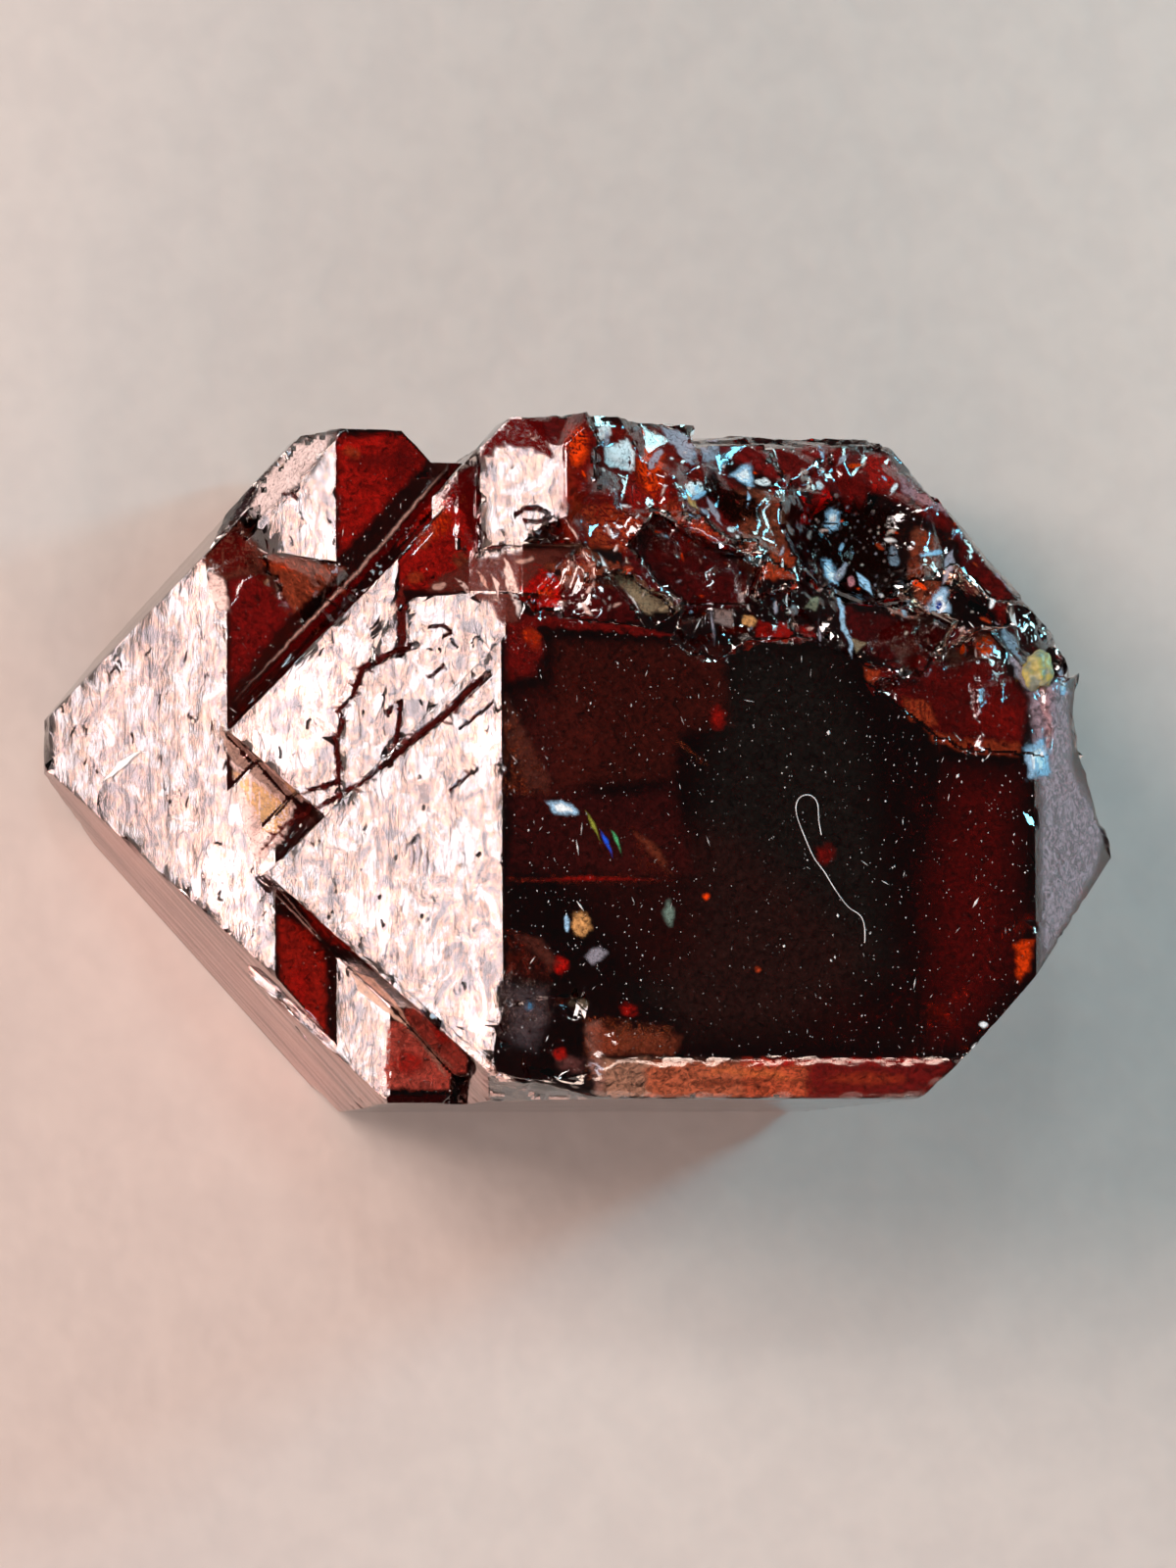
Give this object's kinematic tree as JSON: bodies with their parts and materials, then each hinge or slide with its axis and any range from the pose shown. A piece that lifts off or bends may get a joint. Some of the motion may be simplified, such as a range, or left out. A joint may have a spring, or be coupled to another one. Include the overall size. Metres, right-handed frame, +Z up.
{
  "type": "zircon crystal group",
  "caption": "Natural red-brown zircon crystals grown together side by side, with pointed pyramid ends, stepped flat faces and a splintered corner, lying on a prism face.",
  "frame": {"origin": "middle of the bounding box's lowest face, on the prism face that the group rests on", "axes": "+X along the crystals' long axis, away from the whole pointed end and towards the broken end; +Y towards the splintered side; +Z up, out of the large flat prism face"},
  "size_m": [0.02, 0.0126, 0.0106],
  "materials": {
    "zircon": "clear deep red-brown crystal with bright flat growth faces and glassy shell-shaped fractures"
  },
  "bodies": {
    "root": {"zircon_crystal": "zircon"}
  },
  "joints": []
}
